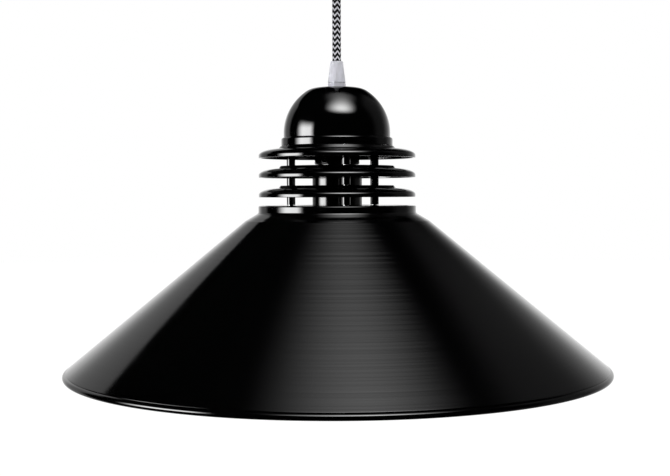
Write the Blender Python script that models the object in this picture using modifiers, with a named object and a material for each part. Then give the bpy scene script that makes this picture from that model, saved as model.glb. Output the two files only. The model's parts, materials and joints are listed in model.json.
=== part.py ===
"""A pendant lamp: a conical metal shade under three louvre rings and a domed cap, hung by a textile cord.

Metres, +Z up. The origin is the middle of the ceiling bracket's top face, so everything hangs below z = 0.
Touching pieces keep a gap of CLEAR. The swing axes cross the cord just under the outlet bush, the turning
axes are the lamp's own centre line.
"""
import math

import bpy
from mathutils import Matrix, Vector

# ---- driving dimensions ----
CLEAR = 0.0003
CORD_R = 0.0036
BORE_R = 0.0040

# ceiling fitting
BRACKET_LENGTH = 0.074
BRACKET_WIDTH = 0.018
BRACKET_SHEET = 0.0018
BRACKET_LEG = 0.014
CUP_R = 0.043
CUP_FOOT_R = 0.036
CUP_HEIGHT = 0.048
CUP_WALL = 0.0014
CUP_SCREW_Z = -0.009
OUTLET_LENGTH = 0.010
STEM_R = 0.0052

# cord
CORD_FREE = 0.0653
BEND_LENGTH = 0.012

# cord grip and threaded tube
GRIP_NUT_HEIGHT = 0.0186
GRIP_NUT_TOP_R = 0.0051
GRIP_NUT_FOOT_R = 0.00725
GRIP_FLANGE_HEIGHT = 0.0023
GRIP_FLANGE_R = 0.0074
NIPPLE_R = 0.0050
NIPPLE_ABOVE_DOME = 0.0098

# domed cap and the carrier plate under it
DOME_HEIGHT = 0.0425
DOME_R = 0.04415
DOME_CENTRE = 0.0037
DOME_FLAT_R = 0.0165
DOME_SHEET = 0.0013
BAND_R = 0.0462
BAND_HEIGHT = 0.0069
CARRIER_WEB = 0.0022
CARRIER_RIM_INNER_R = 0.0365
SPIGOT = 0.0010

# louvre rings and their posts
RING_COUNT = 3
RING_R = 0.0650
RING_HOLE_R = 0.0290
RING_PLATEAU_R = 0.0472
RING_STEP = 0.0021
RING_STEP_OUT = 0.0016
RING_HEIGHT = 0.0096
RING_EDGE = 0.0015
RING_SHEET = 0.0020
RING_PITCH = 0.0162
POST_CIRCLE_R = 0.0414
POST_R = 0.0036
POST_ANGLES = (-80.4, 39.6, 159.6)
ROD_R = 0.0020
ROD_HOLE_R = 0.0024
ROD_IN_CARRIER = 0.0045

# shade
SHADE_GAP = 0.0067
SHADE_R = 0.2250
SHADE_NECK_R = 0.0654
SHADE_NECK_HEIGHT = 0.0041
SHADE_HOLE_R = 0.0330
SHADE_DROP = 0.1284
SHADE_SHEET = 0.0012
BEAD_R = 0.00275

# lampholder and bulb
HOLDER_CAP_R = 0.0187
HOLDER_CAP_HEIGHT = 0.0159
HOLDER_BODY_R = 0.0206
HOLDER_BODY_HEIGHT = 0.0443
HOLDER_WALL = 0.0022
INSERT_R = 0.0179
EARTH_SCREW_Y = 0.0097
SHELL_R = 0.0142
BULB_CAP_R = 0.0131
BULB_R = 0.0300
BULB_LENGTH = 0.105

# ---- heights that follow, from the ceiling down ----
OUTLET_Z = -(CUP_HEIGHT + OUTLET_LENGTH)
UPPER_PIVOT_Z = OUTLET_Z - 0.0002
LOWER_PIVOT_Z = UPPER_PIVOT_Z - BEND_LENGTH
GRIP_TOP_Z = OUTLET_Z - CORD_FREE
GRIP_FOOT_Z = GRIP_TOP_Z - GRIP_NUT_HEIGHT
DOME_TOP_Z = GRIP_FOOT_Z - GRIP_FLANGE_HEIGHT - 2 * CLEAR
CREASE_Z = DOME_TOP_Z - DOME_HEIGHT
BAND_FOOT_Z = CREASE_Z - BAND_HEIGHT
WEB_FOOT_Z = CREASE_Z - CARRIER_WEB
RING_TOPS = [BAND_FOOT_Z - CLEAR - n * RING_PITCH for n in range(RING_COUNT)]
SHADE_TOP_Z = RING_TOPS[-1] - RING_HEIGHT - SHADE_GAP
CONE_TOP_Z = SHADE_TOP_Z - SHADE_NECK_HEIGHT
CONE_FOOT_Z = CONE_TOP_Z - SHADE_DROP
NIPPLE_FOOT_Z = WEB_FOOT_Z - 0.0107
HOLDER_TOP_Z = WEB_FOOT_Z - 0.0041
HOLDER_JOINT_Z = HOLDER_TOP_Z - HOLDER_CAP_HEIGHT
HOLDER_FOOT_Z = HOLDER_JOINT_Z - HOLDER_BODY_HEIGHT
INSERT_TOP_Z = HOLDER_JOINT_Z - 0.0034
INSERT_FOOT_Z = INSERT_TOP_Z - 0.0108
BULB_TOP_Z = INSERT_FOOT_Z - 0.0040


def clear_scene():
    for old in list(bpy.data.objects):
        bpy.data.objects.remove(old, do_unlink=True)


def new_collection(name):
    made = bpy.data.collections.new(name)
    bpy.context.scene.collection.children.link(made)
    return made


def material(name, colour, roughness, metallic=0.0, transmission=0.0):
    made = bpy.data.materials.new(name)
    made.use_nodes = True
    shader = made.node_tree.nodes["Principled BSDF"]
    shader.inputs["Base Color"].default_value = (*colour, 1.0)
    shader.inputs["Roughness"].default_value = roughness
    shader.inputs["Metallic"].default_value = metallic
    shader.inputs["Transmission Weight"].default_value = transmission
    return made


def put(obj, collection):
    """Move obj from wherever the operator left it into one collection."""
    for holder in list(obj.users_collection):
        holder.objects.unlink(obj)
    collection.objects.link(obj)


def smooth(obj):
    obj.data.shade_smooth()
    obj.data.set_sharp_from_angle(angle=math.radians(35))


def arc(centre, radius, start, end, steps):
    """Points of an arc in the (r, z) half plane; radius may be a pair for an ellipse; angles in degrees."""
    rx, rz = radius if isinstance(radius, tuple) else (radius, radius)
    angles = [math.radians(start + (end - start) * k / steps) for k in range(steps + 1)]
    return [(centre[0] + rx * math.cos(a), centre[1] + rz * math.sin(a)) for a in angles]


def turned(name, profile, mat, steps, closed=True):
    """Turn a profile, listed down its outer side, around Z. An open profile starts and ends on the axis."""
    mesh = bpy.data.meshes.new(name)
    count = len(profile)
    edges = [(k, k + 1) for k in range(count - 1)]
    if closed:
        edges.append((count - 1, 0))
    mesh.from_pydata([(r, 0.0, z) for r, z in profile], edges, [])
    obj = bpy.data.objects.new(name, mesh)
    PARTS.objects.link(obj)
    screw = obj.modifiers.new("Turn", "SCREW")
    screw.axis = "Z"
    screw.angle = math.tau
    screw.steps = steps
    screw.render_steps = steps
    screw.use_merge_vertices = True
    screw.merge_threshold = 0.00001
    screw.use_smooth_shade = True
    mesh.materials.append(mat)
    return obj


def sleeve(name, outer, inner, top, foot, mat, steps=16):
    return turned(name, [(outer, top), (outer, foot), (inner, foot), (inner, top)], mat, steps)


def cylinder(name, radius, length, centre, mat, sides=16, axis=(0, 0, 1)):
    bpy.ops.mesh.primitive_cylinder_add(vertices=sides, radius=radius, depth=length)
    obj = bpy.context.object
    obj.name = name
    obj.data.name = name
    obj.rotation_mode = "QUATERNION"
    obj.rotation_quaternion = Vector((0, 0, 1)).rotation_difference(Vector(axis))
    obj.location = centre
    put(obj, PARTS)
    smooth(obj)
    obj.data.materials.append(mat)
    return obj


def box(name, size, centre, mat):
    bpy.ops.mesh.primitive_cube_add(size=1.0)
    obj = bpy.context.object
    obj.name = name
    obj.data.name = name
    obj.data.transform(Matrix.Diagonal((*size, 1.0)))
    obj.location = centre
    put(obj, PARTS)
    obj.data.materials.append(mat)
    return obj


def tube(name, points, radius, mat, radii=None):
    """A round wire through the points, with filled ends; radii scales it point by point."""
    curve = bpy.data.curves.new(name, "CURVE")
    curve.dimensions = "3D"
    curve.bevel_depth = radius
    curve.bevel_resolution = 3
    curve.use_fill_caps = True
    curve.resolution_u = 1
    curve.render_resolution_u = 0
    spline = curve.splines.new("POLY")
    spline.points.add(len(points) - 1)
    for k, point in enumerate(points):
        spline.points[k].co = (*point, 1.0)
        spline.points[k].radius = radii[k] if radii else 1.0
    obj = bpy.data.objects.new(name, curve)
    PARTS.objects.link(obj)
    curve.materials.append(mat)
    return obj


def eased(points, steps=3):
    """A smooth run of points through the given ones (Catmull-Rom)."""
    knots = [Vector(p) for p in points]
    knots = [2 * knots[0] - knots[1], *knots, 2 * knots[-1] - knots[-2]]
    made = []
    for a, b, c, d in zip(knots, knots[1:], knots[2:], knots[3:]):
        slope = c - a
        bend = 2 * a - 5 * b + 4 * c - d
        twist = 3 * b - a - 3 * c + d
        for k in range(steps):
            t = k / steps
            made.append(b + 0.5 * (slope * t + bend * t**2 + twist * t**3))
    return [tuple(p) for p in [*made, knots[-2]]]


def cut(obj, cutter):
    """Take the cutter's shape out of obj; the cutter stays hidden in the cutters' collection."""
    put(cutter, CUTTERS)
    cutter.hide_render = True
    cutter.display_type = "WIRE"
    boolean = obj.modifiers.new("Cut " + cutter.name, "BOOLEAN")
    boolean.operation = "DIFFERENCE"
    boolean.solver = "EXACT"
    boolean.object = cutter


def drill(obj, name, radius, length, centre, axis=(0, 0, 1), sides=12):
    cut(obj, cylinder(name, radius, length, centre, STEEL, sides, axis))


def hex_nut(name, across_flats, bore, top, foot):
    """A hexagon nut with a plain bore."""
    corner_r = across_flats / math.sqrt(3)
    nut = cylinder(name, corner_r, top - foot, (0, 0, (top + foot) / 2), ZINC, 6)
    drill(nut, name + "_bore", bore, 2 * (top - foot), (0, 0, (top + foot) / 2), sides=20)
    return nut


def post_places():
    return [
        (POST_CIRCLE_R * math.cos(math.radians(a)), POST_CIRCLE_R * math.sin(math.radians(a)))
        for a in POST_ANGLES
    ]


# ---- ceiling fitting ----
def ceiling_bracket():
    """A steel strip with its ends bent down, slotted for the ceiling screws and tapped for the side screws."""
    strip = box("ceiling_bracket", (BRACKET_LENGTH, BRACKET_WIDTH, BRACKET_LEG), (0, 0, -BRACKET_LEG / 2), ZINC)
    inside = (BRACKET_LENGTH - 2 * BRACKET_SHEET, 2 * BRACKET_WIDTH, BRACKET_LEG)
    cut(strip, box("bracket_inside", inside, (0, 0, -BRACKET_SHEET - BRACKET_LEG / 2), STEEL))
    for side in (-1, 1):
        slot = (0.012, 0.0045, 4 * BRACKET_SHEET)
        cut(strip, box(f"bracket_slot_{side}", slot, (side * 0.022, 0, 0), STEEL))
    drill(strip, "bracket_screw_holes", ROD_HOLE_R, 2 * BRACKET_LENGTH, (0, 0, CUP_SCREW_Z), (1, 0, 0))


def ceiling_cup():
    """A turned cup, open to the ceiling, with a round hole for the outlet bush."""
    top = -CUP_WALL
    foot_outer = arc((CUP_FOOT_R - 0.005, -CUP_HEIGHT + 0.005), 0.005, 0, -90, 3)
    foot_inner = arc((CUP_FOOT_R - 0.005, -CUP_HEIGHT + 0.005), 0.005 - CUP_WALL, -90, 0, 3)
    hole = STEM_R + CLEAR
    profile = [(CUP_R, top), *foot_outer, (hole, -CUP_HEIGHT), (hole, -CUP_HEIGHT + CUP_WALL), *foot_inner]
    profile.append((CUP_R - CUP_WALL, top))
    cup = turned("ceiling_cup", profile, BLACK, 24)
    drill(cup, "cup_screw_holes", ROD_HOLE_R, 4 * CUP_R, (0, 0, CUP_SCREW_Z), (1, 0, 0))


def cup_screw(name, side):
    """A side screw: head outside the cup, shank through the cup and the bracket's leg."""
    head_r = 0.0040
    head = 0.0022
    seat = CUP_R + CLEAR
    tip = BRACKET_LENGTH / 2 - 0.005
    profile = [(0, head), (head_r * 0.7, head * 0.9), (head_r, head * 0.4), (head_r, 0)]
    profile += [(ROD_R, 0), (ROD_R, -(seat - tip)), (0, -(seat - tip))]
    screw = turned(name, profile, BLACK, 12, closed=False)
    screw.rotation_euler = (0, side * math.pi / 2, 0)
    screw.location = (side * seat, 0, CUP_SCREW_Z)


def outlet():
    """The bush the cord leaves by, its nut inside the cup, and the clamp that takes the cord's pull."""
    flange_z = -CUP_HEIGHT - CLEAR
    stem_top = -CUP_HEIGHT + 0.0090
    profile = [
        (STEM_R, stem_top), (STEM_R, flange_z), (0.0085, flange_z), (0.0085, flange_z - 0.003),
        (0.0066, OUTLET_Z), (BORE_R, OUTLET_Z), (BORE_R, stem_top),
    ]
    turned("outlet_bush", profile, BLACK_PLASTIC, 20)
    nut_foot = -CUP_HEIGHT + CUP_WALL + CLEAR
    hex_nut("outlet_nut", 0.014, STEM_R + CLEAR, nut_foot + 0.003, nut_foot)
    clamp_foot = stem_top + CLEAR
    clamp_z = clamp_foot + 0.004
    clamp = box("cord_clamp", (0.022, 0.012, 0.008), (0, 0, clamp_z), BLACK_PLASTIC)
    drill(clamp, "clamp_bore", BORE_R, 0.02, (0, 0, clamp_z))
    drill(clamp, "clamp_screw_hole", 0.0018, 0.012, (0.0085, 0, clamp_z), (1, 0, 0))
    cylinder("clamp_screw", 0.0014, 0.0080, (0.0082, 0, clamp_z), ZINC, 10, (1, 0, 0))


def terminal_block():
    """Three screw terminals in one nylon block, under the bracket."""
    centre = Vector((0, 0.004, -0.0100))
    block = box("terminal_block", (0.030, 0.015, 0.0120), centre, WHITE_PLASTIC)
    for k in (-1, 0, 1):
        x = k * 0.0095
        drill(block, f"terminal_wire_hole_{k}", 0.0016, 0.040, centre + Vector((x, 0, -0.002)), (0, 1, 0))
        drill(block, f"terminal_screw_well_{k}", 0.0018, 0.006, centre + Vector((x, -0.004, 0.006)))


def ceiling_leads():
    """Three insulated leads from the cord's stripped tail up to the terminal block."""
    start_z = -0.0272
    for name, x, start, mat in (
        ("ceiling_lead_live", -0.0095, (-0.0012, -0.0012), BROWN),
        ("ceiling_lead_earth", 0.0, (0.0, 0.0016), GREEN),
        ("ceiling_lead_neutral", 0.0095, (0.0012, -0.0012), BLUE),
    ):
        route = [
            (*start, start_z), (*start, -0.0250), (x * 0.5, start[1] * 1.5 - 0.0010, -0.0215),
            (x * 0.95, -0.0080, -0.0175), (x, -0.0085, -0.0130), (x, -0.0055, -0.0120), (x, -0.0005, -0.0120),
        ]
        tube(name, eased(route, 2), 0.0010, mat)


# ---- cord ----
def cord():
    """The taut cord: its tail in the cup, the short bend under the outlet, the free length, and the end in the lamp."""
    tail_top = -0.0275
    ball = [(math.sin(math.radians(a)), math.cos(math.radians(a))) for a in (85, 60, 30, 0)]
    tail_foot = UPPER_PIVOT_Z + CORD_R + CLEAR
    tube("cord_tail", [(0, 0, tail_top), (0, 0, (tail_top + tail_foot) / 2), (0, 0, tail_foot)], CORD_R, TEXTILE)

    def rounded(name, top_z, foot_z, between):
        heights = [top_z + rise * CORD_R for rise, _ in ball]
        widths = [width for _, width in ball]
        below = [top_z + (foot_z - top_z) * k / between for k in range(1, between + 1)]
        points = [(0, 0, z) for z in heights + below]
        tube(name, points, CORD_R, TEXTILE, widths + [1.0] * between)

    rounded("cord_bend", UPPER_PIVOT_Z, LOWER_PIVOT_Z + CORD_R + CLEAR, 1)
    meeting_z = GRIP_TOP_Z - 0.0020
    rounded("cord", LOWER_PIVOT_Z, meeting_z, 4)
    inner_foot = NIPPLE_FOOT_Z + 0.0004
    inner = [(0, 0, meeting_z - CLEAR + (inner_foot - meeting_z) * k / 4) for k in range(5)]
    tube("cord_inner_end", inner, CORD_R, TEXTILE)


# ---- cord grip, threaded tube, dome and carrier ----
def cord_grip():
    """Flange ring on the dome, slotted collet on the threaded tube's end, and the conical nut over both."""
    flange_top = GRIP_FOOT_Z - CLEAR
    bore = NIPPLE_R + CLEAR
    sleeve("grip_flange", GRIP_FLANGE_R, bore, flange_top, flange_top - GRIP_FLANGE_HEIGHT, GREY_PLASTIC)
    nipple_top = DOME_TOP_Z + NIPPLE_ABOVE_DOME
    collet_top = nipple_top + CLEAR + 0.0058
    lip = 0.0039
    collet = [
        (0.0044, collet_top), (0.0047, collet_top - 0.0012), (0.0047, nipple_top + CLEAR),
        (lip, nipple_top + CLEAR), (lip, collet_top),
    ]
    turned("grip_collet", collet, WHITE_PLASTIC, 16)
    nut = [
        (GRIP_NUT_TOP_R, GRIP_TOP_Z), (GRIP_NUT_FOOT_R, GRIP_FOOT_Z), (bore, GRIP_FOOT_Z),
        (bore, nipple_top + CLEAR), (0.0050, nipple_top + 0.0009), (0.0050, collet_top - 0.0012),
        (lip + 0.0001, collet_top + 0.0010), (lip + 0.0001, GRIP_TOP_Z),
    ]
    turned("grip_nut", nut, CLEAR_PLASTIC, 16)
    sleeve("threaded_tube", NIPPLE_R, BORE_R, nipple_top, NIPPLE_FOOT_Z, ZINC, 16)


def dome_cap():
    """A spun cap: nearly half a sphere, cut flat on top, standing on the carrier plate's spigot."""
    centre_z = CREASE_Z + DOME_CENTRE
    hole = NIPPLE_R + CLEAR
    shoulder = math.degrees(math.asin((DOME_TOP_Z - centre_z) / DOME_R)) - 5
    inner_r = DOME_R - DOME_SHEET
    outer = arc((0, centre_z), DOME_R, shoulder, 0, 6)
    inner = arc((0, centre_z), inner_r, 0, shoulder, 4)
    foot_z = CREASE_Z + CLEAR
    profile = [(hole, DOME_TOP_Z), (DOME_FLAT_R, DOME_TOP_Z), *outer, (DOME_R, foot_z), (inner_r, foot_z), *inner]
    profile += [(DOME_FLAT_R, DOME_TOP_Z - DOME_SHEET), (hole, DOME_TOP_Z - DOME_SHEET)]
    turned("dome_cap", profile, BLACK, 28)


def carrier_plate():
    """The plate that carries everything: its rim shows as the band, its web is held on the threaded tube."""
    spigot_r = DOME_R - DOME_SHEET - CLEAR
    spigot_z = CREASE_Z + SPIGOT
    soft = 0.0007
    hole = NIPPLE_R + CLEAR
    profile = [
        (hole, spigot_z), (spigot_r, spigot_z), (spigot_r, CREASE_Z), (BAND_R - soft, CREASE_Z),
        (BAND_R, CREASE_Z - soft), (BAND_R, BAND_FOOT_Z), (CARRIER_RIM_INNER_R, BAND_FOOT_Z),
        (CARRIER_RIM_INNER_R, WEB_FOOT_Z), (hole, WEB_FOOT_Z),
    ]
    plate = turned("carrier_plate", profile, BLACK, 28)
    for k, (x, y) in enumerate(post_places()):
        depth = ROD_IN_CARRIER + CLEAR
        drill(plate, f"carrier_rod_hole_{k}", ROD_HOLE_R, 2 * depth, (x, y, BAND_FOOT_Z))


def carrier_fastening():
    """The thin nut that holds the carrier plate on the threaded tube."""
    nut_top = WEB_FOOT_Z - CLEAR
    hex_nut("carrier_nut", 0.014, NIPPLE_R + CLEAR, nut_top, nut_top - 0.0025)


# ---- louvres, posts ----
def louvre_ring(name, top_z):
    """An upturned saucer of sheet metal: flat plateau, a small step, then a crowned slope to an upright edge."""
    step_r = RING_PLATEAU_R + RING_STEP_OUT
    edge_z = top_z - RING_HEIGHT + RING_EDGE
    crown = (RING_R - step_r, top_z - RING_STEP - edge_z)
    hollow = (crown[0] - RING_SHEET, crown[1] - RING_SHEET)
    outer = arc((step_r, edge_z), crown, 90, 0, 4)
    inner = arc((step_r, edge_z), hollow, 0, 90, 2)
    foot_z = top_z - RING_HEIGHT
    profile = [(RING_HOLE_R, top_z), (RING_PLATEAU_R, top_z), *outer, (RING_R, foot_z)]
    profile += [(RING_R - RING_SHEET, foot_z), *inner]
    profile += [(RING_PLATEAU_R - 0.0012, top_z - RING_SHEET), (RING_HOLE_R, top_z - RING_SHEET)]
    ring = turned(name, profile, BLACK, 30)
    for k, (x, y) in enumerate(post_places()):
        drill(ring, f"{name}_hole_{k}", ROD_HOLE_R, 4 * RING_SHEET, (x, y, top_z))


def posts():
    """At each of three places: spacer sleeves on a tie rod that screws up into the carrier plate."""
    sides = ("front", "right", "left")
    nut_top = SHADE_TOP_Z - SHADE_SHEET - CLEAR
    for side, (x, y) in zip(sides, post_places()):
        for n, ring_top in enumerate(RING_TOPS):
            top = ring_top - RING_SHEET - CLEAR
            below = RING_TOPS[n + 1] if n + 1 < RING_COUNT else SHADE_TOP_Z
            spacer = sleeve(f"spacer_{n + 1}_{side}", POST_R, ROD_HOLE_R, top, below + CLEAR, BLACK, 12)
            spacer.location = (x, y, 0)
        rod_top = BAND_FOOT_Z + ROD_IN_CARRIER
        rod_foot = nut_top - 0.0042
        rod_centre = (x, y, (rod_top + rod_foot) / 2)
        cylinder(f"tie_rod_{side}", ROD_R, rod_top - rod_foot, rod_centre, ZINC, 12)
        domed_nut(f"rod_nut_{side}", x, y, nut_top)


def domed_nut(name, x, y, top):
    """A flanged cap nut on a rod's lower end: a dome, and a blind bore open at the top."""
    depth = 0.0046
    bore = ROD_HOLE_R
    profile = [
        (0.0048, top), (0.0048, top - 0.0008), (0.0039, top - 0.0008), (0.0039, top - 0.0034),
        (0.0034, top - 0.0046), (0.0022, top - 0.0059), (0, top - 0.0064), (0, top - depth), (bore, top - depth),
        (bore, top),
    ]
    nut = turned(name, profile, ZINC, 12)
    nut.location = (x, y, 0)


# ---- shade ----
def shade():
    """One spun piece: flat top with a large hole, short upright neck, straight cone, rolled bead at the rim."""
    top = SHADE_TOP_Z
    sheet = SHADE_SHEET
    rim_r = SHADE_R - BEAD_R
    bead = (rim_r, CONE_FOOT_Z - BEAD_R - 0.0005)
    slope = math.atan2(SHADE_DROP, rim_r - SHADE_NECK_R)
    inward = sheet * math.tan(slope / 2)
    corner = arc((SHADE_NECK_R - 0.0012, top - 0.0012), 0.0012, 90, 0, 2)
    curl = arc(bead, BEAD_R, 62, -180, 6)
    profile = [(SHADE_HOLE_R, top), *corner, (SHADE_NECK_R, CONE_TOP_Z), (rim_r, CONE_FOOT_Z), *curl]
    profile += [(rim_r - BEAD_R, CONE_FOOT_Z - sheet - 0.0004)]
    profile += [(SHADE_NECK_R - sheet, CONE_TOP_Z - inward), (SHADE_NECK_R - sheet, top - sheet)]
    profile += [(SHADE_HOLE_R, top - sheet)]
    made = turned("shade", profile, BLACK, 44)
    for k, (x, y) in enumerate(post_places()):
        drill(made, f"shade_hole_{k}", ROD_HOLE_R, 4 * sheet, (x, y, top))


# ---- lampholder ----
def holder_shells():
    """The two moulded shells of the lampholder and the metal bush the threaded tube enters by."""
    top = HOLDER_TOP_Z
    wall = HOLDER_WALL
    joint = HOLDER_JOINT_Z
    hole = 0.0078
    cap = [
        (hole, top), (0.0145, top), *arc((0.0145, top - 0.0042), 0.0042, 75, 0, 3), (HOLDER_CAP_R, joint + 0.0009),
        (HOLDER_CAP_R - 0.0009, joint), (HOLDER_CAP_R - wall, joint), (HOLDER_CAP_R - wall, top - 0.004),
        (0.0145, top - 0.002), (hole, top - 0.002),
    ]
    turned("holder_cap", cap, BAKELITE, 20)
    neck_r = HOLDER_CAP_R - wall - CLEAR
    neck_inner = 0.0149
    seat = joint - CLEAR
    inner = HOLDER_BODY_R - wall
    body = [
        (neck_r, joint + 0.0036), (neck_r, seat), (HOLDER_CAP_R - 0.0008, seat), (HOLDER_BODY_R, seat - 0.0022),
        (HOLDER_BODY_R, HOLDER_FOOT_Z), (inner, HOLDER_FOOT_Z), (inner, seat - 0.0028), (neck_inner, seat - 0.0028),
        (neck_inner, joint + 0.0036),
    ]
    turned("holder_body", body, BAKELITE, 20)
    bore = NIPPLE_R + CLEAR
    flange_top = top - 0.002 - CLEAR
    entry = [
        (hole - CLEAR, top + 0.0010), (hole - CLEAR, flange_top), (0.0115, flange_top), (0.0115, flange_top - 0.0014),
        (hole - CLEAR, flange_top - 0.0014), (hole - CLEAR, NIPPLE_FOOT_Z - 0.0010), (bore, NIPPLE_FOOT_Z - 0.0010),
        (bore, top + 0.0010),
    ]
    bush = turned("holder_entry_bush", entry, BRASS, 16)
    drill(bush, "earth_screw_hole", 0.0014, 0.004, (0, EARTH_SCREW_Y, flange_top - 0.001), sides=10)
    head_top = flange_top - 0.0014 - CLEAR
    screw = [(0.0010, head_top + 0.0012), (0.0010, head_top), (0.0017, head_top), (0.0017, head_top - 0.0013)]
    made = turned("earth_screw", [(0, head_top + 0.0012), *screw, (0, head_top - 0.0013)], BRASS, 10, closed=False)
    made.location = (0, EARTH_SCREW_Y, 0)


def holder_insides():
    """Ceramic insert, terminals and screws, sprung centre contact and screw shell."""
    sleeve("holder_insert", INSERT_R, 0.0030, INSERT_TOP_Z, INSERT_FOOT_Z, CERAMIC, 18)
    terminal_z = INSERT_TOP_Z + CLEAR + 0.003
    for side, label in ((-1, "live"), (1, "neutral")):
        x = side * 0.0110
        block = box(f"{label}_terminal", (0.0052, 0.0056, 0.006), (x, 0, terminal_z), BRASS)
        drill(block, f"{label}_wire_hole", 0.0014, 0.0038, (x - side * 0.0019, 0, terminal_z - 0.0008), (1, 0, 0))
        screw_foot = terminal_z + 0.0010
        screw_top = terminal_z + 0.0042
        drill(block, f"{label}_screw_hole", 0.0014, 0.0060, (x, 0, screw_foot - CLEAR + 0.003))
        screw_centre = (x, 0, (screw_top + screw_foot) / 2)
        cylinder(f"{label}_terminal_screw", 0.0011, screw_top - screw_foot, screw_centre, ZINC, 10)
    shell_top = INSERT_FOOT_Z - CLEAR
    sleeve("screw_shell", SHELL_R, SHELL_R - 0.0006, shell_top, HOLDER_FOOT_Z + 0.0032, BRASS, 18)
    centre_contact(shell_top)


def centre_contact(seat):
    """A springy brass tongue, bowed down to the bulb's contact."""
    thick = 0.0006
    outline = [
        (-0.0110, seat), (-0.0050, seat), (-0.0015, seat - 0.0026), (0.0015, seat - 0.0026), (0.0040, seat - 0.0016),
        (0.0040, seat - 0.0016 - thick), (0.0018, seat - 0.0026 - thick), (-0.0019, seat - 0.0026 - thick),
        (-0.0054, seat - thick), (-0.0110, seat - thick),
    ]
    curve = bpy.data.curves.new("centre_contact", "CURVE")
    curve.dimensions = "2D"
    curve.fill_mode = "BOTH"
    curve.extrude = 0.0030
    spline = curve.splines.new("POLY")
    spline.points.add(len(outline) - 1)
    for k, (x, z) in enumerate(outline):
        spline.points[k].co = (x, z, 0, 1)
    spline.use_cyclic_u = True
    obj = bpy.data.objects.new("centre_contact", curve)
    PARTS.objects.link(obj)
    obj.rotation_euler = (math.pi / 2, 0, 0)
    curve.materials.append(BRASS)


def lamp_leads():
    """Live, neutral and earth, from the cord's end inside the lampholder to their screws."""
    start_z = NIPPLE_FOOT_Z - 0.0002
    wire_z = INSERT_TOP_Z + CLEAR + 0.0022
    for side, name, mat in ((-1, "lead_live", BROWN), (1, "lead_neutral", BLUE)):
        route = [
            (side * 0.0014, -0.0008, start_z), (side * 0.0014, -0.0008, start_z - 0.0024),
            (side * 0.0036, -0.0002, wire_z + 0.0016), (side * 0.0062, 0, wire_z), (side * 0.0100, 0, wire_z),
        ]
        tube(name, eased(route, 2), 0.0010, mat)
    earth_z = HOLDER_TOP_Z - 0.0037 - 0.0024
    route = [
        (0, 0.0016, start_z), (0, 0.0018, start_z - 0.0024), (0, 0.0056, start_z - 0.0044),
        (0, EARTH_SCREW_Y - 0.0005, start_z - 0.0030), (0, EARTH_SCREW_Y, earth_z),
    ]
    tube("lead_earth", eased(route, 2), 0.0010, GREEN)


# ---- bulb ----
def bulb():
    """Centre contact, black glass insulator, screw cap and glass, hanging from the screw shell."""
    top = BULB_TOP_Z
    contact_foot = top - 0.0012
    profile = [(0, top), (0.0034, top - 0.0004), (0.0045, contact_foot), (0, contact_foot)]
    turned("bulb_contact", profile, TIN, 16, closed=False)
    cone_top = contact_foot - CLEAR
    cone_foot = cone_top - 0.0022
    profile = [(0, cone_top), (0.0052, cone_top), (0.0105, cone_foot), (0, cone_foot)]
    turned("bulb_insulator", profile, BLACK_PLASTIC, 16, closed=False)
    cap_top = cone_foot - CLEAR
    cap_foot = HOLDER_FOOT_Z + 0.0010
    skin = 0.0005
    profile = [
        (0.0110, cap_top), (BULB_CAP_R, cap_top - 0.0016), (BULB_CAP_R, cap_foot), (BULB_CAP_R - skin, cap_foot),
        (BULB_CAP_R - skin, cap_top - 0.0018), (0.0107, cap_top - skin),
    ]
    turned("bulb_cap", profile, ALUMINIUM, 18)
    neck_z = cap_foot - CLEAR
    glass_foot = top - BULB_LENGTH
    middle = glass_foot + BULB_R
    neck_r = 0.0128
    wall = 0.0008
    flare = [(neck_r, neck_z), (0.0150, neck_z - 0.007), (0.0215, neck_z - 0.021), (0.0272, middle + 0.0125)]
    outer = flare + arc((0, middle), BULB_R, 12, -90, 5)
    inner = arc((0, middle), BULB_R - wall, -90, 12, 4)
    inner += [(r - wall, z) for r, z in reversed(flare)]
    turned("bulb_glass", outer + inner, OPAL, 20)


def build():
    ceiling_bracket()
    ceiling_cup()
    cup_screw("cup_screw_left", -1)
    cup_screw("cup_screw_right", 1)
    outlet()
    terminal_block()
    ceiling_leads()
    cord()
    cord_grip()
    dome_cap()
    carrier_plate()
    carrier_fastening()
    for n, top_z in enumerate(RING_TOPS):
        louvre_ring(f"louvre_ring_{n + 1}", top_z)
    posts()
    shade()
    holder_shells()
    holder_insides()
    lamp_leads()
    bulb()


clear_scene()
PARTS = new_collection("pendant_lamp")
CUTTERS = new_collection("pendant_lamp_cutters")
BLACK = material("gloss black enamel", (0.010, 0.010, 0.011), 0.12)
BLACK_PLASTIC = material("black plastic", (0.015, 0.015, 0.016), 0.35)
BAKELITE = material("black bakelite", (0.012, 0.011, 0.011), 0.18)
WHITE_PLASTIC = material("white nylon", (0.80, 0.80, 0.78), 0.45)
GREY_PLASTIC = material("grey translucent plastic", (0.62, 0.63, 0.65), 0.35, transmission=0.4)
CLEAR_PLASTIC = material("frosted clear plastic", (0.90, 0.91, 0.93), 0.30, transmission=0.8)
CERAMIC = material("white ceramic", (0.85, 0.84, 0.80), 0.30)
TEXTILE = material("black and white braid", (0.30, 0.30, 0.30), 0.85)
STEEL = material("steel", (0.50, 0.50, 0.50), 0.30, metallic=1.0)
ZINC = material("zinc plated steel", (0.66, 0.67, 0.68), 0.32, metallic=1.0)
BRASS = material("brass", (0.78, 0.58, 0.28), 0.28, metallic=1.0)
TIN = material("tinned solder", (0.60, 0.60, 0.60), 0.35, metallic=1.0)
ALUMINIUM = material("aluminium", (0.75, 0.75, 0.76), 0.30, metallic=1.0)
OPAL = material("opal glass", (0.93, 0.93, 0.91), 0.25, transmission=0.2)
BROWN = material("brown insulation", (0.20, 0.09, 0.04), 0.45)
BLUE = material("blue insulation", (0.03, 0.12, 0.45), 0.45)
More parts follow.
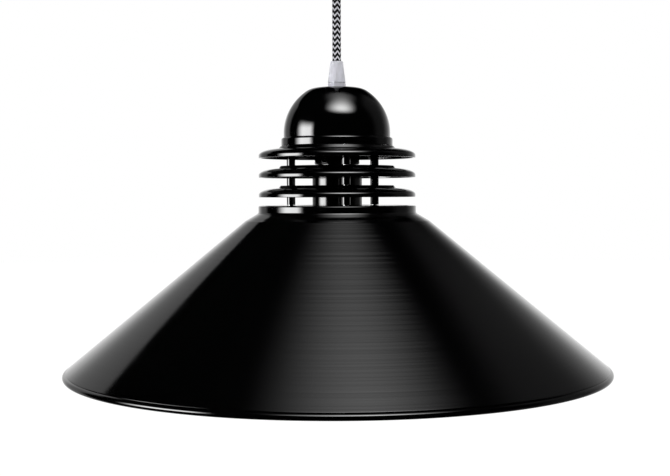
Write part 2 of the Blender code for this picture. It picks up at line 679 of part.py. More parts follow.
GREEN = material("green and yellow insulation", (0.25, 0.45, 0.05), 0.45)
build()
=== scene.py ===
"""The looks of a pendant lamp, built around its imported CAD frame.

Metres, +Z up. The ceiling is z = 0, and x = y = 0 is the lamp's own axis. Each visible turned part is a
fine lathe mesh that stands for its faceted CAD node and takes its place and size from that node's box.
An outline's corner is (r, z), or (r, z, fillet radius).
"""
import json
import math

import bmesh
import bpy
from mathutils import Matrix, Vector


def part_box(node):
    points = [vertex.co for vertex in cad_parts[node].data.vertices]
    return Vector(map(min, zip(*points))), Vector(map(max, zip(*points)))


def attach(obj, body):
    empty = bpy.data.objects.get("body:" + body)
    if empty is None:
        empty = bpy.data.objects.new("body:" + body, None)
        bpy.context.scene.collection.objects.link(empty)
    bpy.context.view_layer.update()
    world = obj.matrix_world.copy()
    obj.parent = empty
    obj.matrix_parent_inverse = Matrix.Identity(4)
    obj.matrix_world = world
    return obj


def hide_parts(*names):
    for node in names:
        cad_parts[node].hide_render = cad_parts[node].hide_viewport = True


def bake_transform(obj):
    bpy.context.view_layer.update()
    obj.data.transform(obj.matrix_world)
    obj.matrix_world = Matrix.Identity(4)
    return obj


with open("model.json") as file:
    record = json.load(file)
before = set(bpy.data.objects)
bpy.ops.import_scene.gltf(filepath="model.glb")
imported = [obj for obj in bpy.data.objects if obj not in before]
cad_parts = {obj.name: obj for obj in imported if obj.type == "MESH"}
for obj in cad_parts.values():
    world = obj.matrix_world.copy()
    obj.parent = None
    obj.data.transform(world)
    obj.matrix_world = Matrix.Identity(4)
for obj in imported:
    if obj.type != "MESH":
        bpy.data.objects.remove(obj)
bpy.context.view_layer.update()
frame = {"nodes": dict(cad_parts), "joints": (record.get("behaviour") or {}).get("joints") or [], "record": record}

MM = 0.001
SIDES = ("front", "right", "left")

# ---- camera: a metre in front of the lamp's axis, about level with the shade's collar ----
EYE = (-0.0018, -1.0, -0.234)
LENS_MM = 64.6
SENSOR_MM = 36.0
PITCH_DOWN_DEG = 2.09
ROLL_DEG = 0.22

# ---- cord: the braid repeats every period down the cord and every wave around it ----
CORD_R = 3.6 * MM
CORD_INTO_NUT = 1.7 * MM
BRAID_PERIOD = 4.5 * MM
BRAID_RISE = 2.6 * MM
BRAID_WAVES = 5
BRAID_START = 0.09
BRAID_RELIEF = 0.28 * MM
BRAID_BLACK = (0.002, 0.002, 0.0025, 1.0)
BRAID_WHITE = (0.66, 0.66, 0.70, 1.0)

# ---- shapes that a node's box doesn't give ----
NIPPLE_HOLE_R = 5.3 * MM
NUT_TOP_DROP = 0.9 * MM
NUT_BORE_R = 4.0 * MM
DOME_R = 44.15 * MM
DOME_RISE = 42.4 * MM
DOME_CENTRE = 3.4 * MM
DOME_TOP_DROP = 1.1 * MM
DOME_SHEET = 1.3 * MM
CARRIER_SPIGOT_R = 42.5 * MM
CARRIER_WEB = 2.2 * MM
CARRIER_RIM_INNER_R = 36.5 * MM
RING_HOLE_R = 29.0 * MM
RING_PLATEAU_R = 47.2 * MM
RING_STEP = 2.1 * MM
RING_STEP_OUT = 1.6 * MM
RING_EDGE = 2.1 * MM
RING_SHEET = 2.0 * MM
POST_R = 3.6 * MM
ROD_HOLE_R = 2.4 * MM
SHADE_HOLE_R = 33.0 * MM
SHADE_NECK_R = 65.4 * MM
SHADE_NECK_HEIGHT = 3.9 * MM
SHADE_DIP = 1.95 * MM
SHADE_DIP_END = 14.0 * MM
SHADE_SHEET = 1.2 * MM
BEAD_R = 2.4 * MM
HOLDER_WALL = 2.2 * MM
THREAD_PITCH = 3.629 * MM


# ---- camera ----
def camera():
    data = bpy.data.cameras.new("camera")
    data.lens = LENS_MM
    data.sensor_width = SENSOR_MM
    data.clip_start = 0.05
    data.clip_end = 100.0
    made = placed("camera", data)
    made.location = EYE
    made.rotation_euler = (math.radians(90 - PITCH_DOWN_DEG), math.radians(ROLL_DEG), 0)
    bpy.context.scene.camera = made


# ---- profiles and meshes ----
def arc(centre, radius, start, end, steps):
    """Points of an arc in the (r, z) plane; radius may be a pair for an ellipse; angles in degrees."""
    rx, rz = radius if isinstance(radius, tuple) else (radius, radius)
    angles = [math.radians(start + (end - start) * k / steps) for k in range(steps + 1)]
    return [(centre[0] + rx * math.cos(a), centre[1] + rz * math.sin(a)) for a in angles]


def filleted(corners):
    """A closed outline through (r, z) or (r, z, fillet radius) corners."""
    made = []
    count = len(corners)
    for k, corner in enumerate(corners):
        here = Vector(corner[:2])
        before = here - Vector(corners[k - 1][:2])
        after = Vector(corners[(k + 1) % count][:2]) - here
        made += rounded(here, before, after, corner[2] if len(corner) > 2 else 0.0)
    return made


def rounded(corner, before, after, fillet):
    """The points that round one corner between two edges, one about every 9 degrees."""
    straight_enough = 0.01
    share_of_edge = 0.49
    turn = math.radians(9)
    u = before.normalized()
    w = after.normalized()
    angle = math.atan2(u.x * w.y - u.y * w.x, u.dot(w))
    if fillet <= 0 or abs(angle) < straight_enough:
        return [tuple(corner)]
    half = math.tan(abs(angle) / 2)
    reach = min(fillet * half, share_of_edge * before.length, share_of_edge * after.length)
    start = corner - u * reach
    side = Vector((-u.y, u.x)) * math.copysign(1.0, angle)
    centre = start + side * (reach / half)
    spoke = start - centre
    steps = max(2, math.ceil(abs(angle) / turn))
    made = []
    for s in range(steps + 1):
        a = angle * s / steps
        r = centre.x + spoke.x * math.cos(a) - spoke.y * math.sin(a)
        z = centre.y + spoke.x * math.sin(a) + spoke.y * math.cos(a)
        made.append((r, z))
    return made


def lathe(name, profile, mats, steps=128, second=None, shape=None, uv=None):
    """Turn a closed outline, listed down its outer side, around Z.

    second(k) says whether outline edge k takes the second material, shape(angle, r, z) gives a vertex's
    radius, and uv(angle, z) gives a corner's place in a UV map.
    """
    count = len(profile)
    verts = []
    for i in range(steps):
        a = math.tau * i / steps
        for r, z in profile:
            radius = shape(a, r, z) if shape else r
            verts.append((radius * math.cos(a), radius * math.sin(a), z))
    faces = []
    for i in range(steps):
        j = (i + 1) % steps
        for k in range(count):
            m = (k + 1) % count
            faces.append((i * count + k, i * count + m, j * count + m, j * count + k))
    mesh = bpy.data.meshes.new(name)
    mesh.from_pydata(verts, [], faces)
    for mat in mats:
        mesh.materials.append(mat)
    if second:
        for n, face in enumerate(mesh.polygons):
            face.material_index = 1 if second(n % count) else 0
    if uv:
        layer = mesh.uv_layers.new(name="UVMap")
        for n, face in enumerate(mesh.polygons):
            start = math.tau * (n // count) / steps
            end = start + math.tau / steps
            for loop, angle in zip(face.loop_indices, (start, start, end, end)):
                z = mesh.vertices[mesh.loops[loop].vertex_index].co.z
                layer.data[loop].uv = uv(angle, z)
    weld(mesh)
    return finished(name, mesh)


def weld(mesh):
    """Merge the points that lie on the axis, and drop what that leaves flat."""
    work = bmesh.new()
    work.from_mesh(mesh)
    bmesh.ops.remove_doubles(work, verts=work.verts, dist=0.0000005)
    bmesh.ops.dissolve_degenerate(work, edges=work.edges, dist=0.0000002)
    work.to_mesh(mesh)
    work.free()


def placed(name, data):
    """An object for a mesh or a camera, in the scene."""
    obj = bpy.data.objects.new(name, data)
    bpy.context.scene.collection.objects.link(obj)
    return obj


def finished(name, mesh):
    """An object for the mesh, shaded smooth apart from its sharp edges."""
    mesh.shade_smooth()
    mesh.set_sharp_from_angle(angle=math.radians(32))
    obj = placed(name, mesh)
    normals = obj.modifiers.new("Normals", "WEIGHTED_NORMAL")
    normals.keep_sharp = True
    return obj


def joined(name, objects):
    """One object from several, whose solids stay separate inside it."""
    work = bmesh.new()
    for obj in objects:
        mesh = obj.data.copy()
        mesh.transform(obj.matrix_basis)
        work.from_mesh(mesh)
        bpy.data.meshes.remove(mesh)
    mesh = bpy.data.meshes.new(name)
    work.to_mesh(mesh)
    work.free()
    mesh.materials.append(objects[0].data.materials[0])
    for obj in objects:
        bpy.data.objects.remove(obj)
    return finished(name, mesh)


def carved(obj, cutter):
    """Take the cutter out of obj for good."""
    boolean = obj.modifiers.new("Cut", "BOOLEAN")
    boolean.operation = "DIFFERENCE"
    boolean.solver = "EXACT"
    boolean.object = cutter
    bpy.context.view_layer.update()
    evaluated = obj.evaluated_get(bpy.context.evaluated_depsgraph_get())
    mesh = bpy.data.meshes.new_from_object(evaluated)
    name = obj.name
    place = obj.matrix_basis.copy()
    bpy.data.objects.remove(obj)
    bpy.data.objects.remove(cutter)
    made = finished(name, mesh)
    made.name = name
    made.matrix_basis = place
    return made


def block(name, size, centre, mat):
    """A plain box."""
    mesh = bpy.data.meshes.new(name)
    work = bmesh.new()
    bmesh.ops.create_cube(work, size=1.0)
    bmesh.ops.scale(work, vec=size, verts=work.verts)
    bmesh.ops.translate(work, vec=centre, verts=work.verts)
    work.to_mesh(mesh)
    work.free()
    mesh.materials.append(mat)
    return placed(name, mesh)


def out_of_gloss(*objects):
    """Keep the objects, which hang just above the view, out of the reflections on the lamp."""
    for obj in objects:
        obj.visible_glossy = False


def turned(name, cad_node, outline, body, slot, mats, steps=128, shape=None):
    """A lathe piece of its slot's material, in place of one CAD node."""
    piece(lathe(name, outline, [mats[slot]], steps, shape=shape), body, slot, cad_node)


def piece(obj, body, slot, *nodes):
    """Hang the piece on its body, in place of its CAD nodes."""
    if nodes:
        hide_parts(*nodes)
    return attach(obj, body)


# ---- materials ----
def new_material(name, colour, roughness, metallic=0.0, **sockets):
    """A Principled material; sockets names other inputs, with _ for a space."""
    made = bpy.data.materials.new(name)
    made.use_nodes = True
    shader = made.node_tree.nodes["Principled BSDF"]
    shader.inputs["Base Color"].default_value = (*colour, 1.0)
    shader.inputs["Roughness"].default_value = roughness
    shader.inputs["Metallic"].default_value = metallic
    for socket, value in sockets.items():
        shader.inputs[socket.replace("_", " ")].default_value = value
    return made


def node(tree, kind, settings=(), **links):
    """Add a node: settings are its attributes, links its inputs by index or name (an output or a value)."""
    made = tree.nodes.new(kind)
    for attribute, value in dict(settings).items():
        setattr(made, attribute, value)
    for key, value in links.items():
        socket = made.inputs[int(key[1:])] if key[0] == "i" and key[1:].isdigit() else made.inputs[key]
        if isinstance(value, bpy.types.NodeSocket):
            tree.links.new(value, socket)
        else:
            socket.default_value = value
    return made


def maths(tree, operation, a, b=0.0):
    return node(tree, "ShaderNodeMath", {"operation": operation}, i0=a, i1=b).outputs[0]


def object_place(tree):
    return node(tree, "ShaderNodeTexCoord").outputs["Object"]


def noise(tree, place, scale, detail=3.0, distortion=0.0):
    made = node(tree, "ShaderNodeTexNoise", Vector=place, Scale=scale, Detail=detail, Distortion=distortion)
    return made.outputs["Fac"]


def map_range(tree, value, start, end, low, high, kind="LINEAR"):
    """Map start to end onto low to high, and hold the value there."""
    links = {"Value": value, "From Min": start, "From Max": end, "To Min": low, "To Max": high}
    return node(tree, "ShaderNodeMapRange", {"interpolation_type": kind}, **links).outputs["Result"]


def spread(tree, value, low, high):
    """Map a noise's middle range onto low to high."""
    return map_range(tree, value, 0.3, 0.7, low, high)


def bump(tree, height, distance, under=None):
    """A normal from a height; under is the normal that it is laid over."""
    made = node(tree, "ShaderNodeBump", Height=height, Distance=distance, Strength=1.0)
    if under:
        tree.links.new(under, made.inputs["Normal"])
    return made.outputs["Normal"]


def set_input(mat, socket, output):
    """Link an output to one of the material's shader inputs."""
    shader = mat.node_tree.nodes["Principled BSDF"]
    mat.node_tree.links.new(output, shader.inputs[socket])


def radius_of(tree, place):
    """The distance from the object's own Z axis."""
    flat = node(tree, "ShaderNodeVectorMath", {"operation": "MULTIPLY"}, i0=place, i1=(1.0, 1.0, 0.0))
    return node(tree, "ShaderNodeVectorMath", {"operation": "LENGTH"}, i0=flat.outputs[0]).outputs["Value"]


def enamel(name, colour, roughness, lines=0.0):
    """Sprayed enamel over spun metal: faint orange peel, uneven gloss and the spinning's fine rings."""
    mat = new_material(name, colour, roughness, IOR=1.5)
    tree = mat.node_tree
    place = object_place(tree)
    smears = noise(tree, place, 38.0, 4.0, 0.6)
    set_input(mat, "Roughness", spread(tree, smears, roughness * 0.8, roughness * 1.35))
    peel = noise(tree, place, 900.0, 2.0)
    normal = bump(tree, peel, 0.012 * MM)
    if lines:
        along = node(tree, "ShaderNodeCombineXYZ", X=radius_of(tree, place)).outputs[0]
        normal = bump(tree, noise(tree, along, 260.0, 5.0), lines, under=normal)
    set_input(mat, "Normal", normal)
    return mat


def moulding(name, colour, roughness, grain=0.02 * MM):
    """A moulded plastic: a fine even grain and a slightly cloudy gloss."""
    mat = new_material(name, colour, roughness, IOR=1.5)
    tree = mat.node_tree
    place = object_place(tree)
    cloud = noise(tree, place, 60.0, 3.0)
    set_input(mat, "Roughness", spread(tree, cloud, roughness * 0.85, roughness * 1.25))
    set_input(mat, "Normal", bump(tree, noise(tree, place, 2500.0, 2.0), grain))
    return mat


def metal(name, colour, roughness):
    """Bare metal: uneven gloss, a little colour drift and fine scratches."""
    mat = new_material(name, colour, roughness, 1.0)
    tree = mat.node_tree
    place = object_place(tree)
    cloud = noise(tree, place, 120.0, 4.0)
    set_input(mat, "Roughness", spread(tree, cloud, roughness * 0.7, roughness * 1.4))
    dull = (*(0.72 * c for c in colour), 1.0)
    blend = spread(tree, cloud, 0.0, 0.5)
    drift = node(tree, "ShaderNodeMix", {"data_type": "RGBA"}, Factor=blend, i6=(*colour, 1.0), i7=dull)
    set_input(mat, "Base Color", next(o for o in drift.outputs if o.type == "RGBA"))
    set_input(mat, "Normal", bump(tree, noise(tree, place, 1800.0, 3.0), 0.01 * MM))
    return mat


def frosted():
    """Clear plastic with a frosted skin."""
    extras = {"IOR": 1.46, "Transmission_Weight": 0.55, "Specular_IOR_Level": 0.04}
    mat = new_material("frosted clear plastic", (0.90, 0.90, 0.96), 0.36, **extras)
    tree = mat.node_tree
    cloud = noise(tree, object_place(tree), 120.0, 2.0)
    set_input(mat, "Roughness", spread(tree, cloud, 0.34, 0.42))
    return mat


def braid():
    """Black and white yarns in a zig-zag, drawn on the cord's own UV map so that it bends with the cord."""
    mat = new_material("black and white braid", (0.5, 0.5, 0.5), 0.9, Specular_IOR_Level=0.15)
    tree = mat.node_tree
    uv = node(tree, "ShaderNodeUVMap", {"uv_map": "UVMap"}).outputs["UV"]
    split = node(tree, "ShaderNodeSeparateXYZ", Vector=uv).outputs
    zigzag = maths(tree, "PINGPONG", split["X"], 0.5)
    rise = maths(tree, "MULTIPLY", zigzag, 2 * BRAID_RISE / BRAID_PERIOD)
    phase = maths(tree, "ADD", split["Y"], rise)
    fuzz = noise(tree, object_place(tree), 1400.0, 3.0)
    wobble = maths(tree, "MULTIPLY", maths(tree, "SUBTRACT", fuzz, 0.5), 0.10)
    rib = maths(tree, "FRACT", maths(tree, "ADD", phase, wobble))
    set_input(mat, "Base Color", yarn_colour(tree, rib))
    yarns_in_rib = 6
    yarns = maths(tree, "SINE", maths(tree, "MULTIPLY", phase, math.tau * yarns_in_rib))
    set_input(mat, "Normal", bump(tree, yarns, 0.08 * MM, under=bump(tree, fuzz, 0.12 * MM)))
    return mat


def yarn_colour(tree, rib):
    """White over the first part of each period down the braid, black over the rest."""
    ramp = node(tree, "ShaderNodeValToRGB", Fac=rib)
    stops = ((0.0, BRAID_BLACK), (0.04, BRAID_WHITE), (0.36, BRAID_WHITE), (0.41, BRAID_BLACK))
    elements = ramp.color_ramp.elements
    elements[1].position = stops[1][0]
    for position, _ in stops[2:]:
        elements.new(position)
    for element, (_, colour) in zip(elements, stops):
        element.color = colour
    return ramp.outputs["Color"]


def opal():
    """White opal glass with an uneven gloss."""
    mat = new_material("opal glass", (0.90, 0.90, 0.88), 0.22, IOR=1.5, Coat_Weight=0.4)
    tree = mat.node_tree
    cloud = noise(tree, object_place(tree), 40.0, 3.0)
    set_input(mat, "Roughness", spread(tree, cloud, 0.16, 0.30))
    return mat


def striped_insulation():
    """Green insulation with a yellow stripe wound along it."""
    mat = moulding("green and yellow insulation", (0.06, 0.30, 0.03), 0.4)
    tree = mat.node_tree
    place = object_place(tree)
    wave = node(tree, "ShaderNodeTexWave", {"wave_type": "BANDS"}, Vector=place, Scale=260.0)
    ramp = node(tree, "ShaderNodeValToRGB", Fac=wave.outputs["Fac"])
    ramp.color_ramp.interpolation = "CONSTANT"
    green, yellow = ramp.color_ramp.elements
    green.color = (0.04, 0.28, 0.03, 1.0)
    yellow.position = 0.6
    yellow.color = (0.75, 0.62, 0.02, 1.0)
    set_input(mat, "Base Color", ramp.outputs["Color"])
    return mat


def make_materials():
    """Every material by its slot's name, with spun_enamel and white_enamel for the two sides of the shade."""
    jet = (0.0005, 0.0005, 0.0006)
    return {
        "black_enamel": enamel("black enamel", jet, 0.06),
        "spun_enamel": enamel("black enamel on the spun cone", jet, 0.07, lines=0.14 * MM),
        "white_enamel": enamel("white enamel", (0.84, 0.84, 0.82), 0.30, lines=0.03 * MM),
        "black_plastic": moulding("black plastic", (0.010, 0.010, 0.011), 0.35),
        "bakelite": moulding("black bakelite", (0.0015, 0.0014, 0.0014), 0.10, 0.005 * MM),
        "white_nylon": moulding("white nylon", (0.78, 0.78, 0.76), 0.45),
        "clear_plastic": frosted(),
        "textile_braid": braid(),
        "zinc_steel": metal("zinc plated steel", (0.66, 0.67, 0.68), 0.30),
        "brass": metal("brass", (0.80, 0.60, 0.30), 0.26),
        "ceramic": moulding("white ceramic", (0.82, 0.81, 0.77), 0.18, 0.005 * MM),
        "solder": metal("tinned solder", (0.58, 0.58, 0.58), 0.38),
        "bulb_aluminium": metal("aluminium", (0.78, 0.78, 0.79), 0.24),
        "opal_glass": opal(),
        "brown_insulation": moulding("brown insulation", (0.10, 0.035, 0.012), 0.4),
        "blue_insulation": moulding("blue insulation", (0.02, 0.09, 0.42), 0.4),
        "green_insulation": striped_insulation(),
    }


# ---- the cord ----
def braid_phase(angle, z):
    """How many ribs down the braid a point lies; a rib is half a period."""
    wave = (BRAID_WAVES * angle / math.tau + BRAID_START) % 1.0
    zigzag = 2 * min(wave, 1 - wave)
    return 2 * (z + BRAID_RISE * zigzag) / BRAID_PERIOD


def braid_uv(angle, z):
    return (BRAID_WAVES * angle / math.tau + BRAID_START, z / BRAID_PERIOD)


def braid_shape(angle, r, z):
    rib = abs(math.sin(math.pi * braid_phase(angle, z)))
    return r - BRAID_RELIEF * (1 - rib**0.5) * min(1.0, r / CORD_R)


def braided(name, foot, top, mat, round_top=False):
    """A stretch of braided cord up the axis; a round top is half a ball around its end."""
    row_height = 0.3 * MM
    rows = max(4, round((top - foot) / row_height))
    profile = [(CORD_R, top + (foot - top) * k / rows) for k in range(rows + 1)]
    lid = arc((0, top), CORD_R, 90, 0, 10)[:-1] if round_top else [(0.0, top)]
    profile = [*lid, *profile, (0.0, foot)]
    return lathe(name, profile, [mat], steps=96, shape=braid_shape, uv=braid_uv)


def cords(mat):
    """The free cord from the nut to the outlet, and its hidden ends in the lamp and in the cup."""
    pivot = Vector(frame_joint("swing_side")["pos_m"])
    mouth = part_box("grip_nut")[1].z
    foot = mouth - CORD_INTO_NUT
    free = braided("cord_free", foot, pivot.z, mat, round_top=True)
    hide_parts("cord", "cord_bend")
    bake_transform(free)
    inner_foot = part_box("cord_inner_end")[0].z
    gap = 0.3 * MM
    inner = braided("cord_in_lamp", inner_foot, foot - gap, mat)
    piece(inner, "lamp", "textile_braid", "cord_inner_end")
    tail_foot, tail_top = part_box("cord_tail")
    tail = braided("cord_in_cup", tail_foot.z, tail_top.z, mat)
    piece(tail, "ceiling_fitting", "textile_braid", "cord_tail")


def frame_joint(name):
    return next(j for j in frame["joints"] if j["name"] == name)


# ---- ceiling fitting ----
def ceiling_cup(mats):
    """A tapered cup, open at the ceiling, with a screw hole through each side."""
    foot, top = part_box("ceiling_cup")
    stem_hole = 5.5 * MM
    wall = 1.4 * MM
    base_r = 36 * MM
    outline = filleted([
        (top.x, top.z, 0.5 * MM), (base_r, foot.z, 5 * MM), (stem_hole, foot.z, 0.2 * MM),
        (stem_hole, foot.z + wall, 0.2 * MM), (base_r - wall, foot.z + wall, 3.6 * MM),
        (top.x - wall, top.z, 0.5 * MM),
    ])
    enamelled = [mats["black_enamel"]]
    cup = lathe("cup_shell", outline, enamelled, steps=144)
    bore_r = 2.4 * MM
    reach = 60 * MM
    bore = lathe("cup_bore", [(0, reach), (bore_r, reach), (bore_r, -reach), (0, -reach)], enamelled, 24)
    bore.rotation_euler = (0, math.pi / 2, 0)
    bore.location = (0, 0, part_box("cup_screw_left")[0].z + 4 * MM)
    cup = carved(cup, bore)
    out_of_gloss(cup)
    piece(cup, "ceiling_fitting", "black_enamel", "ceiling_cup")


def cup_screw(name, side, mats):
    """A raised cheese-head screw with a slot."""
    lo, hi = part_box(name)
    head_r = (hi.z - lo.z) / 2
    reach = hi.x - lo.x
    head = 2.2 * MM
    shank_r = 2.0 * MM
    outline = filleted([
        (0, head), (head_r * 0.55, head * 0.98, 0.8 * MM), (head_r, head * 0.45, 1.0 * MM),
        (head_r, 0, 0.1 * MM), (shank_r, 0), (shank_r, head - reach), (0, head - reach),
    ])
    screw = lathe(name + "_fine", outline, [mats["black_enamel"]], steps=48)
    slot_size = (20 * MM, 0.9 * MM, 2.2 * MM)
    screw = carved(screw, block("screw_slot", slot_size, (0, 0, head), mats["black_enamel"]))
    screw.rotation_euler = (0, side * math.pi / 2, 0)
    outer = hi.x if side > 0 else lo.x
    screw.location = (outer - side * head, 0, (lo.z + hi.z) / 2)
    piece(screw, "ceiling_fitting", "black_enamel", name)


def outlet(mats):
    """The outlet bush, its mouth belled so that the cord can lean."""
    lo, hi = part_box("outlet_bush")
    bore = 4.0 * MM
    stem = 5.2 * MM
    flange_top = lo.z + 9.7 * MM
    outline = filleted([
        (stem, hi.z, 0.3 * MM), (stem, flange_top), (hi.x, flange_top, 0.4 * MM),
        (hi.x, flange_top - 3 * MM, 0.8 * MM), (6.6 * MM, lo.z, 1.0 * MM), (bore + 0.9 * MM, lo.z, 0.8 * MM),
        (bore, lo.z + 3.0 * MM, 1.0 * MM), (bore, hi.z, 0.3 * MM),
    ])
    bush = lathe("outlet_bush_fine", outline, [mats["black_plastic"]], steps=96)
    out_of_gloss(bush)
    piece(bush, "ceiling_fitting", "black_plastic", "outlet_bush")


# ---- cord grip ----
def grip_nut(mats):
    """The conical grip nut, finely ribbed over its lower part, hollow above the threaded tube."""
    lo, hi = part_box("grip_nut")
    top = hi.z - NUT_TOP_DROP
    top_r = 5.1 * MM
    foot_r = hi.x
    ribs = 32
    rib_depth = 0.16 * MM
    rib_foot = lo.z + 0.7 * MM
    rib_top = lo.z + 11.5 * MM

    def ribbed(angle, r, z):
        if r < foot_r - 2.5 * MM or not rib_foot < z < rib_top:
            return r
        ease = min(1.0, (rib_top - z) / (2 * MM), (z - rib_foot) / (0.5 * MM))
        return r - rib_depth * ease * (0.5 + 0.5 * math.cos(ribs * angle))

    rows = 28
    edge = 0.5 * MM
    side = []
    for k in range(rows + 1):
        share = k / rows
        r = top_r + 0.05 * MM + (foot_r - top_r) * share
        side.append((r, top - edge - (top - lo.z - 2 * edge) * share))
    tube_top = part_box("threaded_tube")[1].z + 0.5 * MM
    hollow_r = 4.95 * MM
    outline = [
        (NUT_BORE_R, top), (top_r - 0.35 * MM, top), (top_r - 0.05 * MM, top - 0.2 * MM), *side,
        (foot_r - 0.3 * MM, lo.z), (NIPPLE_HOLE_R, lo.z), (NIPPLE_HOLE_R, tube_top),
        (hollow_r, tube_top + 0.4 * MM), (hollow_r, tube_top + 4.6 * MM), (NUT_BORE_R, tube_top + 6.0 * MM),
    ]
    turned("grip_nut_fine", "grip_nut", outline, "grip_screw", "clear_plastic", mats, ribs * 8, ribbed)


def grip_flange(mats):
    """The ring under the nut, reaching down to the fine dome's lower top."""
    lo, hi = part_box("grip_flange")
    foot = lo.z - DOME_TOP_DROP
    outline = filleted([
        (hi.x - 0.5 * MM, hi.z, 0.2 * MM), (hi.x, hi.z - 0.5 * MM, 0.3 * MM), (hi.x, foot, 0.2 * MM),
        (NIPPLE_HOLE_R, foot), (NIPPLE_HOLE_R, hi.z),
    ])
    turned("grip_flange_fine", "grip_flange", outline, "lamp", "clear_plastic", mats, 96)


# ---- dome and band ----
def dome(mats):
    """The domed cap: nearly a ball, with a small flat top and a hollow curve out to the band."""
    lo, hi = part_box("dome_cap")
    top = hi.z - DOME_TOP_DROP
    inner_top = top - DOME_SHEET
    inner_radii = (DOME_R - DOME_SHEET, DOME_RISE - DOME_SHEET)
    centre = (0, lo.z + DOME_CENTRE)
    flat_r = 8 * MM

    def angle_at(z):
        return math.degrees(math.asin((z - centre[1]) / DOME_RISE))

    shoulder = angle_at(top - 3.85 * MM)
    outer = arc(centre, (DOME_R, DOME_RISE), shoulder, angle_at(lo.z + 3.4 * MM), 72)
    outline = [
        (NIPPLE_HOLE_R, top), (flat_r, top), *softened((flat_r, top), outer[0]), *outer,
        *cove(outer[-1], (hi.x, lo.z)), (hi.x, lo.z), (inner_radii[0], lo.z),
        *arc(centre, inner_radii, -4, shoulder, 24), (17 * MM, inner_top - 0.9 * MM),
        (flat_r, inner_top), (NIPPLE_HOLE_R, inner_top),
    ]
    turned("dome_fine", "dome_cap", outline, "lamp", "black_enamel", mats, 192)


def softened(start, end, power=3.8, steps=16):
    """Points between two that leave the start level and steepen towards the end."""
    made = []
    for k in range(1, steps):
        t = k / steps
        made.append((start[0] + (end[0] - start[0]) * t, start[1] + (end[1] - start[1]) * t**power))
    return made


def cove(start, end, steps=10):
    """A hollow quarter curve that leaves start going down and reaches end going outwards."""
    made = []
    for k in range(1, steps):
        a = math.pi / 2 * k / steps
        r = start[0] + (end[0] - start[0]) * (1 - math.cos(a))
        made.append((r, start[1] + (end[1] - start[1]) * math.sin(a)))
    return made


def carrier(mats):
    """The plate that carries the rods: its deep rim is the band under the dome."""
    lo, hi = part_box("carrier_plate")
    crease = hi.z - 1.0 * MM
    web_foot = crease - CARRIER_WEB
    outline = filleted([
        (NIPPLE_HOLE_R, hi.z), (CARRIER_SPIGOT_R, hi.z, 0.3 * MM), (CARRIER_SPIGOT_R, crease),
        (hi.x, crease, 1.8 * MM), (hi.x, lo.z, 0.5 * MM), (CARRIER_RIM_INNER_R, lo.z, 0.3 * MM),
        (CARRIER_RIM_INNER_R, web_foot, 1.0 * MM), (NIPPLE_HOLE_R, web_foot),
    ])
    turned("carrier_fine", "carrier_plate", outline, "lamp", "black_enamel", mats, 192)


# ---- louvre rings and posts ----
def louvre_ring(n, mats):
    """An upturned saucer: a flat middle, a small step down and a rounded rim."""
    lo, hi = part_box(f"louvre_ring_{n}")
    top = hi.z
    step_r = RING_PLATEAU_R + RING_STEP_OUT
    rim_centre = (step_r, lo.z + RING_EDGE)
    rim = (hi.x - step_r, top - RING_STEP - rim_centre[1])
    hollow = (rim[0] - RING_SHEET, rim[1] - RING_SHEET)
    edge_r = 0.5 * MM
    foot_r = 0.4 * MM
    step = filleted([
        (RING_HOLE_R, top, 0.4 * MM), (RING_PLATEAU_R, top, 0.35 * MM), (step_r, top - RING_STEP, 0.3 * MM),
        (step_r + 2 * MM, top - RING_STEP - 0.05 * MM), (RING_HOLE_R, top - 2 * RING_STEP),
    ])[:-2]
    outline = [
        *step, *arc(rim_centre, rim, 84, 0, 40), *arc((hi.x - edge_r, lo.z + edge_r), edge_r, 0, -90, 5),
        *arc((hi.x - RING_SHEET + foot_r, lo.z + foot_r), foot_r, -90, -180, 4),
        *arc(rim_centre, hollow, 0, 90, 20), (RING_PLATEAU_R - 1.2 * MM, top - RING_SHEET),
        (RING_HOLE_R, top - RING_SHEET),
    ]
    turned(f"louvre_{n}_fine", f"louvre_ring_{n}", outline, "lamp", "black_enamel", mats, 192)


def spacer(name, mats):
    """One sleeve of a post, between two rings."""
    lo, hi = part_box(name)
    outline = filleted([
        (POST_R, hi.z, 0.25 * MM), (POST_R, lo.z, 0.25 * MM),
        (ROD_HOLE_R, lo.z, 0.15 * MM), (ROD_HOLE_R, hi.z, 0.15 * MM),
    ])
    sleeve = lathe(f"{name}_fine", outline, [mats["black_enamel"]], steps=64)
    sleeve.location = ((lo.x + hi.x) / 2, (lo.y + hi.y) / 2, 0)
    piece(sleeve, "lamp", "black_enamel", name)


def rod_nut(name, mats):
    """A flanged cap nut: a round flange, a chamfered hexagon and a dome."""
    lo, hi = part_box(name)
    top = hi.z
    steel = [mats["zinc_steel"]]
    flange_r = 4.8 * MM
    flange_foot = top - 0.8 * MM
    corner_r = 3.9 * MM
    hexagon_top = top - 0.82 * MM
    hexagon_foot = top - 3.8 * MM
    ball_z = top - 3.5 * MM
    flange = lathe("nut_flange", filleted([
        (flange_r, top, 0.2 * MM), (flange_r, flange_foot, 0.3 * MM), (ROD_HOLE_R, flange_foot),
        (ROD_HOLE_R, top),
    ]), steel, 64)
    hexagon = lathe("nut_hexagon", [
        (corner_r, hexagon_top), (corner_r, hexagon_foot + 0.4 * MM), (corner_r - 0.6 * MM, hexagon_foot),
        (ROD_HOLE_R, hexagon_foot), (ROD_HOLE_R, hexagon_top),
    ], steel, 6)
    lid = lathe("nut_dome", [
        (2.9 * MM, top - 3.82 * MM), *arc((0, ball_z), ball_z - lo.z, -12, -90, 12), (0, ball_z - 0.4 * MM),
    ], steel, 48)
    nut = joined(f"{name}_fine", [flange, hexagon, lid])
    nut.location = ((lo.x + hi.x) / 2, (lo.y + hi.y) / 2, 0)
    piece(nut, "lamp", "zinc_steel", name)


